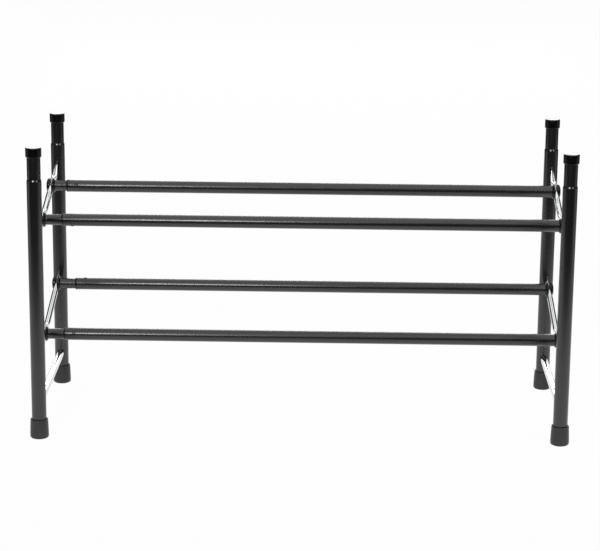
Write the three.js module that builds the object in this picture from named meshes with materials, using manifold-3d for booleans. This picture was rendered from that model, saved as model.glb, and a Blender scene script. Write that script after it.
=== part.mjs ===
// Pull-out shoe rack: two stacking end frames of coated steel tube, joined by four telescopic tubes.
// Millimetres, +Z up, +X across the width, front towards -Y.
// The origin lies on the floor, midway between the four posts, with the rack pulled nearly closed.

import * as THREE from 'three';
import { mergeVertices } from 'three/addons/utils/BufferGeometryUtils.js';
import Module from 'manifold-3d';

const wasm = await Module();
wasm.setup();

// Overall sizes
const frameSpacing = 678;
const frameDepth = 241;
const rackHeight = 385;

// Clearances: between parts that are seated, in the bush's press fit, and between sliding parts
const seatGap = 0.25;
const pressGap = 0.05;
const runGap = 0.1;
const cutOverrun = 5;

// Posts: tube with a drawn neck that takes the foot end of a second rack
const postDiameter = 19;
const postWall = 0.9;
const neckDiameter = 17.5;
const neckHeight = 41;
const shoulderLength = 2.1;

// Caps pushed over the necks
const capDiameter = 20.5;
const capHeight = 12.5;
const capTopThickness = 2;
const capEdgeRadius = 1.4;
const capRimBevel = 0.8;

// Rubber feet pushed over the post ends
const footHeight = 25.5;
const footFloor = 4;
const footRimDiameter = 22.8;
const footBaseDiameter = 24.3;
const footFlareHeight = 7;
const footEdgeRadius = 2.6;
const footLip = 0.7;
const footMouthWidth = 0.6;
const footMouthDepth = 1;

// How far the rails' ends stand in their posts
const railEntry = 5;

// Level bottom rails of the end frames
const bottomRailDiameter = 10;
const bottomRailWall = 1;
const bottomRailHeight = 45;

// Sloping rails: placed by the rail's axis where it meets the front posts' axis,
// the upper one from the rack's top and the lower one from the floor
const railDiameter = 8;
const railWall = 1;
const railRise = 58;
const upperRailDrop = 126.5;
const lowerRailHeight = 103.5;
const pinchThickness = 2.2;
const pinchFlat = 2.5;
const pinchLength = 38;
const clampPinchLength = 17;

// Places of the telescopic tubes along the rails, from the axis of the nearer posts
const frontBarInset = 70;
const upperRearBarInset = 72;
const lowerRearBarInset = 35;

// Telescopic tubes
const outerTubeDiameter = 16;
const innerTubeDiameter = 14;
const outerTubeWall = 0.5;
const innerTubeWall = 0.5;
const tubeStandoff = 0.5;
const exposedLength = 21;
const upperRearExposedLength = 16.2;

// Bush in the mouth of each outer tube, held by a nub that snaps into a hole
const bushLipDiameter = 16.8;
const bushLipThickness = 1.6;
const bushNose = 1;
const bushLength = 16;
const nubDiameter = 4.2;
const nubRise = 0.5;
const nubInset = 12;
const nubHoleGap = 0.3;

// Guide shoe on the hidden end of each inner tube, set back from the plug at the outer tube's far end.
// The rack pulls out until the shoe reaches the bush.
const guideLength = 40;
const guideSetback = 89.9;
const guideSpigotLength = 15;
const guideBoreDiameter = 9;

// End fittings: a plug in the tube and a saddle outside the rail, drawn together by a screw
const collarDiameter = 19.6;
const collarEdge = 1.4;
const spigotLength = 20;
const saddleReach = 6.6;
const saddleRim = 4.2;
const screwShankDiameter = 4;
const screwHeadDiameter = 8;
const screwHeadHeight = 1.4;
const screwLength = 22;
const screwTipLength = 3;
const screwRecessDepth = 0.9;
const screwRecessWidth = 1;
const screwRecessSpan = 4.4;

// Facets round the pieces, round the sloping rails, and round the screws, nubs and their holes
const roundSides = 16;
const railSides = 12;
const smallSides = 10;

// Shares of a length at which the curved forms have their rings
const pinchShares = [0, 1 / 3, 2 / 3, 1];
const clampShares = [0, 1];
const edgeShares = [0, 1 / 2, 1];

// Places that follow from the sizes
const postRadius = postDiameter / 2;
const neckRadius = neckDiameter / 2;
const railRadius = railDiameter / 2;
const bottomRailRadius = bottomRailDiameter / 2;
const collarRadius = collarDiameter / 2;
const outerTubeRadius = outerTubeDiameter / 2;
const innerTubeRadius = innerTubeDiameter / 2;
const outerBoreRadius = outerTubeRadius - outerTubeWall;
const innerBoreRadius = innerTubeRadius - innerTubeWall;
const railStart = postRadius - railEntry;
const railX = frameSpacing / 2;
const frontY = -frameDepth / 2;
const rearY = frameDepth / 2;
const railSlope = Math.atan2(railRise, frameDepth);
const railLength = Math.hypot(railRise, frameDepth);
const shoulderHeight = rackHeight - neckHeight;
const fittingFace = railX - railRadius - tubeStandoff;
const guideEnd = fittingFace - spigotLength - guideSetback;
const guideStep = guideEnd - guideLength;
const headSeat = saddleReach - screwHeadHeight;
const clampFace = pinchThickness / 2 + seatGap;
const clampReach = collarRadius / Math.cos(railSlope) + seatGap;
const sides = [
  { name: 'left', sign: -1 },
  { name: 'right', sign: 1 },
];
const ends = [
  { name: 'front', y: frontY },
  { name: 'rear', y: rearY },
];
const tiers = [
  { name: 'upper', railHeight: rackHeight - upperRailDrop },
  { name: 'lower', railHeight: lowerRailHeight },
];

// One entry for each telescopic bar; the nub's turn is measured from the front, upwards
const bars = [
  { name: 'upper_front', tier: tiers[0], y: frontY + frontBarInset, nubTurn: -Math.PI / 2 },
  { name: 'upper_rear', tier: tiers[0], y: rearY - upperRearBarInset, nubTurn: Math.PI / 9 },
  { name: 'lower_front', tier: tiers[1], y: frontY + frontBarInset, nubTurn: Math.PI / 9 },
  { name: 'lower_rear', tier: tiers[1], y: rearY - lowerRearBarInset, nubTurn: Math.PI / 2 },
];

// Where each bush's lip starts and where its outer tube's mouth lies behind it
for (const bar of bars) {
  bar.lipFace = (bar.name === 'upper_rear' ? upperRearExposedLength : exposedLength) - fittingFace;
  bar.mouth = bar.lipFace + bushLipThickness;
}

const materials = {
  coatedSteel: new THREE.MeshStandardMaterial({ color: 0x2c2c2e, roughness: 0.38, metalness: 0.35 }),
  chrome: new THREE.MeshStandardMaterial({ color: 0xdfe1e3, roughness: 0.08, metalness: 1 }),
  rubber: new THREE.MeshStandardMaterial({ color: 0x3a3b3c, roughness: 0.8, metalness: 0 }),
  plastic: new THREE.MeshStandardMaterial({ color: 0x19191a, roughness: 0.45, metalness: 0 }),
  zinc: new THREE.MeshStandardMaterial({ color: 0x9a9da0, roughness: 0.35, metalness: 1 }),
};

function railHeightAt(tier, y) {
  return tier.railHeight + (railRise * (y - frontY)) / frameDepth;
}

// Closed bodies

function signedVolume(geometry) {
  const position = geometry.attributes.position;
  const corners = [new THREE.Vector3(), new THREE.Vector3(), new THREE.Vector3()];
  let total = 0;
  for (let i = 0; i < geometry.index.count; i += 3) {
    corners.forEach((corner, k) => corner.fromBufferAttribute(position, geometry.index.getX(i + k)));
    total += corners[0].dot(corners[1].clone().cross(corners[2])) / 6;
  }
  return total;
}

// Shared vertices are merged, collapsed triangles dropped and the faces turned outwards
function closeBody(source) {
  const bare = source.clone();
  bare.deleteAttribute('normal');
  bare.deleteAttribute('uv');
  const merged = mergeVertices(bare, 1e-5);
  const kept = [];
  for (let i = 0; i < merged.index.count; i += 3) {
    const corners = [0, 1, 2].map((k) => merged.index.getX(i + k));
    if (new Set(corners).size === 3) kept.push(...corners);
  }
  merged.setIndex(kept);
  if (signedVolume(merged) < 0) {
    kept.reverse();
    merged.setIndex(kept);
  }
  return merged;
}

function toSolid(geometry) {
  const body = closeBody(geometry);
  return new wasm.Manifold(new wasm.Mesh({
    numProp: 3,
    vertProperties: new Float32Array(body.attributes.position.array),
    triVerts: new Uint32Array(body.index.array),
  }));
}

function toGeometry(solid) {
  const mesh = solid.getMesh();
  const geometry = new THREE.BufferGeometry();
  geometry.setAttribute('position', new THREE.BufferAttribute(mesh.vertProperties, mesh.numProp));
  geometry.setIndex(new THREE.BufferAttribute(mesh.triVerts, 1));
  return geometry;
}

function subtract(geometry, ...cutters) {
  const result = cutters.reduce((solid, cutter) => solid.subtract(toSolid(cutter)), toSolid(geometry));
  return toGeometry(result);
}

function join(geometry, ...others) {
  const result = others.reduce((solid, other) => solid.add(toSolid(other)), toSolid(geometry));
  return toGeometry(result);
}

// Revolves a closed outline of [radius, height] points about Z
function revolve(outline, sideCount) {
  const points = [...outline, outline[0]].map(([radius, height]) => new THREE.Vector2(radius, height));
  const geometry = new THREE.LatheGeometry(points, sideCount);
  geometry.rotateX(Math.PI / 2);
  return closeBody(geometry);
}

// Revolves an outline of [radius, distance] points about X; sign turns it to the left or the right
function revolveAlongX(outline, sideCount, sign = 1) {
  const geometry = revolve(outline, sideCount);
  geometry.rotateY((sign * Math.PI) / 2);
  return geometry;
}

function ring(outerRadius, boreRadius, start, end) {
  return [[boreRadius, start], [outerRadius, start], [outerRadius, end], [boreRadius, end]];
}

function disc(radius, start, end) {
  return [[0, start], [radius, start], [radius, end], [0, end]];
}

// A quarter round from the side of a disc to its flat face; up is 1 for a top face and -1 for an underside
function roundedEdge(radius, face, edgeRadius, up) {
  return edgeShares.map((share) => {
    const turn = (share * Math.PI) / 2;
    return [
      radius - edgeRadius + edgeRadius * Math.cos(turn),
      face - up * edgeRadius + up * edgeRadius * Math.sin(turn),
    ];
  });
}

// Posts, caps and feet

function postOutline(inset) {
  return [
    [postRadius - inset, footFloor + seatGap],
    [postRadius - inset, shoulderHeight - shoulderLength],
    [neckRadius - inset, shoulderHeight],
    [neckRadius - inset, rackHeight - capTopThickness - seatGap],
  ];
}

// A post about its own axis, with a slot for each sloping rail and a hole for the bottom rail
function post(x, y) {
  const rails = [
    ...tiers.map((tier) => placeRail(railSlot(), x, tier)),
    placeBottomRail(disc(bottomRailRadius + seatGap, frontY, rearY), x),
  ];
  rails.forEach((rail) => rail.translate(-x, -y, 0));
  return subtract(revolve([...postOutline(0), ...postOutline(postWall).reverse()], roundSides), ...rails);
}

function cap() {
  const rim = rackHeight - capHeight;
  const ceiling = rackHeight - capTopThickness;
  const boreRadius = neckRadius + seatGap;
  const top = roundedEdge(capDiameter / 2, rackHeight, capEdgeRadius, 1);
  return revolve([
    [boreRadius, rim],
    [capDiameter / 2 - capRimBevel, rim],
    [capDiameter / 2, rim + capRimBevel],
    ...top,
    [0, rackHeight],
    [0, ceiling],
    [boreRadius, ceiling],
  ], roundSides);
}

function foot() {
  const boreRadius = postRadius + seatGap;
  const base = roundedEdge(footBaseDiameter / 2, 0, footEdgeRadius, -1).reverse();
  return revolve([
    [0, 0],
    ...base,
    [footBaseDiameter / 2, footFlareHeight],
    [footRimDiameter / 2, footHeight - footLip],
    [footRimDiameter / 2 - footLip, footHeight],
    [boreRadius + footMouthWidth, footHeight],
    [boreRadius, footHeight - footMouthDepth],
    [boreRadius, footFloor],
    [0, footFloor],
  ], roundSides);
}

// Revolves an outline about the bottom rail's axis
function placeBottomRail(outline, x) {
  const body = revolve(outline, roundSides);
  body.rotateX(-Math.PI / 2);
  body.translate(x, 0, bottomRailHeight);
  return body;
}

function bottomRail(x) {
  const bore = bottomRailRadius - bottomRailWall;
  return placeBottomRail(ring(bottomRailRadius, bore, frontY + railStart, rearY - railStart), x);
}

// Sloping rails: a round tube, pressed flat at its ends, which stand in slots in the posts, and
// pressed flat again where each fitting clamps it

// A tube of the given radius pressed to a thickness keeps its girth, so it grows taller
function pressedSection(radius, thickness) {
  const endRadius = thickness / 2;
  const flat = Math.PI * (radius - endRadius);
  const points = [];
  for (let k = 0; k < railSides; k += 1) {
    const turn = (2 * Math.PI * k) / railSides;
    const fromSide = Math.asin(Math.abs(Math.sin(turn)));
    const along = radius * fromSide;
    const pastFlat = Math.max(0, along - flat / 2) / endRadius;
    const across = endRadius * Math.cos(pastFlat);
    const height = Math.min(along, flat / 2) + endRadius * Math.sin(pastFlat);
    points.push([Math.sign(Math.cos(turn)) * across, Math.sign(Math.sin(turn)) * height]);
  }
  return points;
}

// Lofts rings of [across, height] points placed at distances along Y into one closed body
function loft(rings) {
  const positions = [];
  const indices = [];
  rings.forEach(({ distance, points }) => {
    points.forEach(([across, height]) => positions.push(across, distance, height));
  });
  const count = rings[0].points.length;
  for (let row = 0; row + 1 < rings.length; row += 1) {
    for (let k = 0; k < count; k += 1) {
      const a = row * count + k;
      const b = row * count + ((k + 1) % count);
      indices.push(a, a + count, b, b, a + count, b + count);
    }
  }
  const last = (rings.length - 1) * count;
  for (let k = 1; k + 1 < count; k += 1) {
    indices.push(0, k, k + 1, last, last + k + 1, last + k);
  }
  const geometry = new THREE.BufferGeometry();
  geometry.setAttribute('position', new THREE.Float32BufferAttribute(positions, 3));
  geometry.setIndex(indices);
  return closeBody(geometry);
}

// The rail's flats, in its own frame: along Y, with the posts' axes at its two ends
function railFlats(tier) {
  const end = { reach: postRadius + pinchFlat, run: pinchLength, shares: pinchShares };
  const clamp = { reach: clampReach, run: clampPinchLength, shares: clampShares };
  return [
    { ...end, middle: 0 },
    { ...end, middle: railLength },
    ...barsOn(tier).map((bar) => ({ ...clamp, middle: (bar.y - frontY) / Math.cos(railSlope) })),
  ];
}

// How much of the rail is pressed at a distance along it: all of it on a flat, none where it is round
function pressedShare(flats, distance) {
  return Math.max(...flats.map(({ middle, reach, run }) => {
    const share = Math.min(Math.max((Math.abs(distance - middle) - reach) / run, 0), 1);
    return 1 - share * share * (3 - 2 * share);
  }));
}

// The rail's skin, or its bore, which lies a wall's thickness deeper and stays out of the flat ends
function railSkin(tier, inset) {
  const flats = railFlats(tier);
  const start = inset > 0 ? postRadius + pinchFlat + pinchShares[1] * pinchLength : railStart;
  const bends = flats.flatMap(({ middle, reach, run, shares }) => (
    shares.flatMap((share) => [middle - reach - share * run, middle + reach + share * run])
  ));
  const inner = bends.filter((distance) => distance > start && distance < railLength - start);
  const distances = [start, ...inner.sort((a, b) => a - b), railLength - start];
  return loft(distances.map((distance) => {
    const pressed = pressedShare(flats, distance) * (railDiameter - pinchThickness);
    return { distance, points: pressedSection(railRadius - inset, railDiameter - pressed - 2 * inset) };
  }));
}

// The slot that the rail's flat ends stand in, from post to post
function railSlot() {
  const points = pressedSection(railRadius + seatGap, pinchThickness + 2 * seatGap);
  return loft([{ distance: 0, points }, { distance: railLength, points }]);
}

function placeRail(geometry, x, tier) {
  geometry.rotateX(railSlope);
  geometry.translate(x, frontY, tier.railHeight);
  return geometry;
}

function barsOn(tier) {
  return bars.filter((bar) => bar.tier === tier);
}

// A straight round cutter along X, centred on a bar
function barCutter(radius, x, length, bar) {
  const cutter = revolveAlongX(disc(radius, x - length / 2, x + length / 2), smallSides);
  return placeBar(cutter, bar);
}

function placeBar(geometry, bar) {
  geometry.translate(0, bar.y, railHeightAt(bar.tier, bar.y));
  return geometry;
}

function slopingRail(x, tier) {
  const screwHoles = barsOn(tier).map((bar) => (
    barCutter(screwShankDiameter / 2 + seatGap, x, railDiameter + cutOverrun, bar)
  ));
  return subtract(
    placeRail(railSkin(tier, 0), x, tier),
    placeRail(railSkin(tier, railWall), x, tier),
    ...screwHoles,
  );
}

// Telescopic tubes with their bushes and guide shoes

// A short round pin or cutter that stands out of a bar's axis at the nub's turn
function nubBody(radius, start, end, bar) {
  const body = revolve(disc(radius, start, end), smallSides);
  body.rotateX(Math.PI / 2 - bar.nubTurn);
  body.translate(bar.mouth + nubInset, 0, 0);
  return placeBar(body, bar);
}

function outerTube(bar) {
  const tube = ring(outerTubeRadius, outerBoreRadius, bar.mouth + seatGap, fittingFace - seatGap);
  const hole = nubBody(nubDiameter / 2 + nubHoleGap, innerTubeRadius, outerTubeRadius + cutOverrun, bar);
  return subtract(placeBar(revolveAlongX(tube, roundSides), bar), hole);
}

function innerTube(bar) {
  const tube = ring(innerTubeRadius, innerBoreRadius, -fittingFace + seatGap, guideStep - seatGap);
  return placeBar(revolveAlongX(tube, roundSides), bar);
}

function bush(bar) {
  const boreRadius = innerTubeRadius + runGap;
  const sleeveRadius = outerBoreRadius - pressGap;
  const body = revolveAlongX([
    [boreRadius, bar.lipFace],
    [bushLipDiameter / 2 - bushNose, bar.lipFace],
    [bushLipDiameter / 2, bar.lipFace + bushNose],
    [bushLipDiameter / 2, bar.mouth],
    [sleeveRadius, bar.mouth],
    [sleeveRadius, bar.mouth + bushLength],
    [boreRadius, bar.mouth + bushLength],
  ], roundSides);
  const nub = nubBody(nubDiameter / 2, (boreRadius + sleeveRadius) / 2, outerTubeRadius + nubRise, bar);
  return join(placeBar(body, bar), nub);
}

function guide(bar) {
  const spigotRadius = innerBoreRadius - seatGap;
  const shoeRadius = outerBoreRadius - runGap;
  const body = revolveAlongX([
    [guideBoreDiameter / 2, guideStep - guideSpigotLength],
    [spigotRadius, guideStep - guideSpigotLength],
    [spigotRadius, guideStep],
    [shoeRadius, guideStep],
    [shoeRadius, guideEnd],
    [guideBoreDiameter / 2, guideEnd],
  ], roundSides);
  return placeBar(body, bar);
}

// End fittings, which clamp the rail's flats: distances are measured outwards from the rail's axis

function placeFitting(geometry, sign, bar) {
  geometry.translate(sign * railX, 0, 0);
  return placeBar(geometry, bar);
}

function endPlug(sign, bar) {
  const tubeBoreRadius = sign < 0 ? innerBoreRadius : outerBoreRadius;
  const face = fittingFace - railX;
  const boreRadius = screwShankDiameter / 2 + seatGap;
  const boreEnd = headSeat - screwLength - seatGap;
  const outline = [
    [0, boreEnd],
    [boreRadius, boreEnd],
    [boreRadius, -clampFace],
    [collarRadius, -clampFace],
    [collarRadius, face + collarEdge],
    [collarRadius - collarEdge, face],
    [tubeBoreRadius - seatGap, face],
    [tubeBoreRadius - seatGap, face - spigotLength],
    [0, face - spigotLength],
  ];
  return placeFitting(revolveAlongX(outline, roundSides, sign), sign, bar);
}

function saddle(sign, bar) {
  const holeRadius = screwShankDiameter / 2 + seatGap;
  const recessRadius = screwHeadDiameter / 2 + seatGap;
  const outline = [
    [holeRadius, clampFace],
    [collarRadius, clampFace],
    [collarRadius, saddleRim],
    [(collarRadius + recessRadius) / 2, (saddleRim + 2 * saddleReach) / 3],
    [recessRadius, saddleReach],
    [recessRadius, headSeat - seatGap],
    [holeRadius, headSeat - seatGap],
  ];
  return placeFitting(revolveAlongX(outline, roundSides, sign), sign, bar);
}

function screw(sign, bar) {
  const tip = headSeat - screwLength;
  const outline = [
    [0, tip],
    [screwShankDiameter / 2, tip + screwTipLength],
    [screwShankDiameter / 2, headSeat],
    [screwHeadDiameter / 2, headSeat],
    [screwHeadDiameter / 2, saddleReach],
    [0, saddleReach],
  ];
  const recess = [[screwRecessSpan, screwRecessWidth], [screwRecessWidth, screwRecessSpan]].map(([y, z]) => {
    const slot = new THREE.BoxGeometry(2 * screwRecessDepth, y, z);
    slot.translate(sign * saddleReach, 0, 0);
    return placeFitting(slot, sign, bar);
  });
  return subtract(placeFitting(revolveAlongX(outline, smallSides, sign), sign, bar), ...recess);
}

// The rack, piece by piece

const rack = new THREE.Group();

function addPiece(name, geometry, material) {
  const body = closeBody(geometry);
  body.computeVertexNormals();
  const piece = new THREE.Mesh(body, material);
  piece.name = name;
  rack.add(piece);
  return piece;
}

for (const side of sides) {
  for (const end of ends) {
    const stack = [
      ['post', post(side.sign * railX, end.y), materials.coatedSteel],
      ['cap', cap(), materials.plastic],
      ['foot', foot(), materials.rubber],
    ];
    for (const [label, geometry, material] of stack) {
      const piece = addPiece(`${side.name}_${end.name}_${label}`, geometry, material);
      piece.position.set(side.sign * railX, end.y, 0);
    }
  }
  addPiece(`${side.name}_bottom_rail`, bottomRail(side.sign * railX), materials.chrome);
  for (const tier of tiers) {
    addPiece(`${side.name}_${tier.name}_rail`, slopingRail(side.sign * railX, tier), materials.chrome);
  }
  for (const bar of bars) {
    addPiece(`${side.name}_${bar.name}_plug`, endPlug(side.sign, bar), materials.plastic);
    addPiece(`${side.name}_${bar.name}_saddle`, saddle(side.sign, bar), materials.plastic);
    addPiece(`${side.name}_${bar.name}_screw`, screw(side.sign, bar), materials.zinc);
  }
}

for (const bar of bars) {
  addPiece(`${bar.name}_outer_tube`, outerTube(bar), materials.coatedSteel);
  addPiece(`${bar.name}_inner_tube`, innerTube(bar), materials.coatedSteel);
  addPiece(`${bar.name}_bush`, bush(bar), materials.plastic);
  addPiece(`${bar.name}_guide`, guide(bar), materials.plastic);
}

export default rack;
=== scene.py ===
"""Extendable shoe rack: fine surfaces, finishes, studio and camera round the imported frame.

Lengths are metres in the frame's own axes: +X across the rack, the front towards -Y, +Z up.
"""

import math

import bmesh
import bpy
from mathutils import Matrix, Vector


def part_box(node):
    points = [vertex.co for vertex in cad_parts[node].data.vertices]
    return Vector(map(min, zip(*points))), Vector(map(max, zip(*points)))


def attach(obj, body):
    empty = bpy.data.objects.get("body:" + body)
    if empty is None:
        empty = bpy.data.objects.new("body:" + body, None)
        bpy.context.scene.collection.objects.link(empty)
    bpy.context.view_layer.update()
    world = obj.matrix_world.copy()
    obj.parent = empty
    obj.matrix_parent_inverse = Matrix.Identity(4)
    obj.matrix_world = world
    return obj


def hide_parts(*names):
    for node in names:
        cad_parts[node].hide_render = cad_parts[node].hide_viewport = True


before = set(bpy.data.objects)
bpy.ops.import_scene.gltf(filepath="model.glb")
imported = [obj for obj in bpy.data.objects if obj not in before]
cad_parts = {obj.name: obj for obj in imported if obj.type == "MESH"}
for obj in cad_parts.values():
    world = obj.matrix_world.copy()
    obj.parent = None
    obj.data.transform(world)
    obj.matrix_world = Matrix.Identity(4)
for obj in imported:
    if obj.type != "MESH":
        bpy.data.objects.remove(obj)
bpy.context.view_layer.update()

bl_info = {
    "name": "Extendable Shoe Rack",
    "version": (1, 0, 0),
    "blender": (4, 5, 0),
    "location": "View3D > Sidebar > Shoe Rack",
    "description": "Makes the fine surfaces and finishes of an extendable shoe rack",
    "category": "Object",
}

MM = 0.001

SIDES = ("left", "right")
ENDS = ("front", "rear")
TIERS = ("upper", "lower")
BARS = ("upper_front", "upper_rear", "lower_front", "lower_rear")
BODY = {"left": "left_frame", "right": "right_frame"}

# Steps round a turned piece, round a small one, and in a rounded edge
ROUND_STEPS = 96
SMALL_STEPS = 48
EDGE_STEPS = 4

# Rounding of fine edges, such as cut ends and bores, and of small moulded ones
FINE_EDGE = 0.2 * MM
SMALL_EDGE = 0.3 * MM

# Edges that turn by more than this stay sharp
SHARP_ANGLE = math.radians(38)

# How far each bush's nub is turned from the front, upwards
NUB_TURNS = {
    "upper_front": math.radians(-90),
    "upper_rear": math.radians(20),
    "lower_front": math.radians(20),
    "lower_rear": math.radians(90),
}

# Width of the picture that the camera frames, in pixels
PICTURE_WIDTH = 600

# Each lamp's name, place, width, height and power, and the point that they are turned to
LAMPS = (
    ("key_softbox", (-1.0, -4.3, 2.3), 1.1, 0.75, 66.0),
    ("fill_softbox", (1.35, -1.32, 1.2), 0.35, 0.35, 5.0),
    ("rear_softbox", (0.0, 3.6, 1.3), 3.0, 0.9, 34.0),
)
LAMP_AIM = Vector((0, 0, 0.25))

# Octaves of the patches and of the fine relief, and the values between which most of the noise lies
PATCH_OCTAVES = 3.0
RELIEF_OCTAVES = 2.0
NOISE_SPREAD = (0.3, 0.7)


def length(name, description, millimetres):
    """A length property, written in millimetres and kept in metres."""
    return bpy.props.FloatProperty(
        name=name, description=description, default=millimetres * MM, unit="LENGTH", precision=5
    )


def share(name, description, value):
    """A property between 0 and 1."""
    return bpy.props.FloatProperty(
        name=name, description=description, default=value, subtype="FACTOR", min=0, max=1
    )


def span(name, description, start, end, **settings):
    """A property that holds where a change starts and where it ends."""
    return bpy.props.FloatVectorProperty(
        name=name, description=description, default=(start, end), size=2, **settings
    )


def colour(name, description, code):
    """A colour property, written as an sRGB hex code and kept linear."""
    return bpy.props.FloatVectorProperty(
        name=name, description=description, default=linear(code), size=4, subtype="COLOR", min=0, max=1
    )


def linear(code):
    """The linear colour, with full alpha, of an sRGB hex code."""
    channels = [int(code[k:k + 2], 16) / 255 for k in (1, 3, 5)]
    return [c / 12.92 if c <= 0.04045 else ((c + 0.055) / 1.055) ** 2.4 for c in channels] + [1.0]


WHITE = linear("#ffffff")


class PostSizes(bpy.types.PropertyGroup):
    """Sizes of the posts, their caps and their feet"""

    wall: length("Post wall", "Wall of the post tube", 0.9)
    neck_diameter: length("Neck diameter", "Outside of the drawn neck that takes a second rack", 17.5)
    neck_height: length("Neck height", "From the shoulder to the top of the rack", 41)
    shoulder_length: length("Shoulder length", "Height of the cone between post and neck", 2.1)
    shoulder_edge: length("Shoulder edge", "Rounding where the cone meets post and neck", 1.2)
    cap_top: length("Cap top", "Thickness of the cap's top", 2)
    cap_edge: length("Cap edge", "Rounding of the cap's top edge", 1.4)
    cap_bevel: length("Cap bevel", "Bevel at the cap's rim", 0.8)
    cap_side_edge: length("Cap side edge", "Rounding between the cap's bevel and its side", 0.5)
    cap_bore_edge: length("Cap bore edge", "Rounding of the edges of the cap's bore", 0.1)
    foot_floor: length("Foot floor", "Thickness of rubber under the post", 4)
    foot_rim_diameter: length("Foot rim diameter", "Outside of the foot at its rim", 22.8)
    foot_flare: length("Foot flare", "Height of the widest part of the foot", 7)
    foot_flare_edge: length("Foot flare edge", "Rounding at the top of the widest part", 2)
    foot_edge: length("Foot edge", "Rounding of the foot's base", 2.6)
    foot_lip: length("Foot lip", "Rounding of the foot's rim", 0.7)
    foot_mouth: length("Foot mouth", "Width of the bevel inside the rim", 0.6)
    foot_mouth_depth: length("Foot mouth depth", "Depth of the bevel inside the rim", 1)
    seat: length("Seat clearance", "Gap between pieces that are seated in each other", 0.25)


class RailSizes(bpy.types.PropertyGroup):
    """Sizes of the rails of the end frames"""

    diameter: length("Rail diameter", "Outside of the sloping rails", 8)
    pinch_thickness: length("Pinch thickness", "Thickness of the rail where it is pressed flat", 2.2)
    pinch_flat: length("Pinch flat", "Flat part of the rail's end, from the post's side", 2.5)
    pinch_length: length("Pinch length", "Length over which the rail's end becomes round", 38)
    clamp_pinch_length: length("Clamp pinch length", "Length over which it becomes round by a fitting", 17)
    ring_step: length("Ring step", "Distance between the rail's rings", 2)
    entry: length("Entry", "How far a rail's end reaches into its post", 5)
    bottom_diameter: length("Bottom rail diameter", "Outside of the level bottom rail", 10)
    slot_gap: length("Slot gap", "Gap between a rail's end and its slot in the post", 0.25)


class TubeSizes(bpy.types.PropertyGroup):
    """Sizes of the telescopic tubes, their bushes and their guide shoes"""

    wall: length("Tube wall", "Wall of the telescopic tubes", 0.5)
    edge: length("Tube edge", "Rounding of a tube's cut end", 0.15)
    lip_length: length("Lip length", "Length of the bush that stands out of the tube's mouth", 1.6)
    lip_nose: length("Lip nose", "Bevel of the bush's lip", 1)
    lip_edge: length("Lip edge", "Rounding at the bevel of the bush's lip", 0.4)
    bush_gap: length("Bush gap", "Gap round the bush in its tube, and from its bore to the nub's root", 0.05)
    bush_length: length("Bush length", "Length of the bush inside the tube", 16)
    nub_diameter: length("Nub diameter", "Nub that holds the bush in its hole", 4.2)
    nub_rise: length("Nub rise", "How far the nub stands out of the tube", 0.5)
    nub_edge: length("Nub edge", "Rounding of the nub's top", 0.35)
    nub_inset: length("Nub inset", "From the tube's mouth to the nub's middle", 12)
    nub_gap: length("Nub gap", "Gap round the nub in its hole", 0.3)
    guide_length: length("Guide length", "Length of the guide shoe behind its step", 40)
    guide_spigot: length("Guide spigot", "Length of the guide shoe inside the inner tube", 15)
    guide_bore: length("Guide bore", "Bore of the guide shoe", 9)
    guide_edge: length("Guide edge", "Rounding of the guide shoe's ends", 0.6)
    guide_gap: length("Guide gap", "Gap round the guide shoe's spigot in the inner tube", 0.25)
    running_gap: length("Running gap", "Gap between sliding parts", 0.1)


class FittingSizes(bpy.types.PropertyGroup):
    """Sizes of the fittings that join the tubes to the rails"""

    collar_diameter: length("Collar diameter", "Outside of plug and saddle", 19.6)
    collar_bevel: length("Collar bevel", "Bevel of the collar at the tube's end", 1.4)
    collar_side_edge: length("Collar side edge", "Rounding between the collar's bevel and its side", 0.6)
    standoff: length("Standoff", "From the rail's side to the tube's end", 0.5)
    spigot: length("Spigot", "Length of the plug inside the tube", 20)
    spigot_edge: length("Spigot edge", "Rounding of the spigot's end", 0.6)
    seat: length("Seat clearance", "Gap between pieces that are seated in each other", 0.25)
    clamp_gap: length("Clamp gap", "Gap between the rail's flat and the fitting on either side of it", 0.25)
    slit_edge: length("Slit edge", "Rounding of the edges of plug and saddle at the rail", 0.4)
    reach: length("Reach", "From the rail's axis to the saddle's outer face", 6.6)
    rim: length("Rim", "From the rail's axis to the end of the saddle's straight side", 4.2)
    rim_edge: length("Rim edge", "Rounding at the end of the saddle's straight side", 0.8)
    dome_rise: length("Dome rise", "How far the saddle's dome swells out of a straight cone", 0.4)
    dome_edge: length("Dome edge", "Rounding of the saddle's dome", 3)
    screw_diameter: length("Screw diameter", "Shank of the screw", 4)
    head_diameter: length("Head diameter", "Head of the screw", 8)
    head_height: length("Head height", "Height of the screw's head", 1.4)
    head_edge: length("Head edge", "Rounding of the screw's head", 0.6)
    screw_length: length("Screw length", "Length of the shank", 22)
    screw_tip: length("Screw tip", "Length of the screw's point", 3)
    recess_width: length("Recess width", "Width of each wing of the cross recess", 1)
    recess_span: length("Recess span", "Span of the cross recess", 4.4)
    recess_depth: length("Recess depth", "Depth of the cross recess", 0.9)


class Finishes(bpy.types.PropertyGroup):
    """Colours of the rack's finishes"""

    coat: colour("Powder coat", "Semi-gloss black powder coat on the steel tubes", "#151516")
    chrome: colour("Chrome", "Bright chrome plate on the rails", "#f1f3f4")
    rubber: colour("Rubber", "Moulded rubber of the feet", "#343435")
    plastic: colour("Plastic", "Moulded polypropylene of caps and fittings", "#080809")
    zinc: colour("Zinc", "Zinc plate on the screws", "#b9bcbf")


# Meshes


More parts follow.
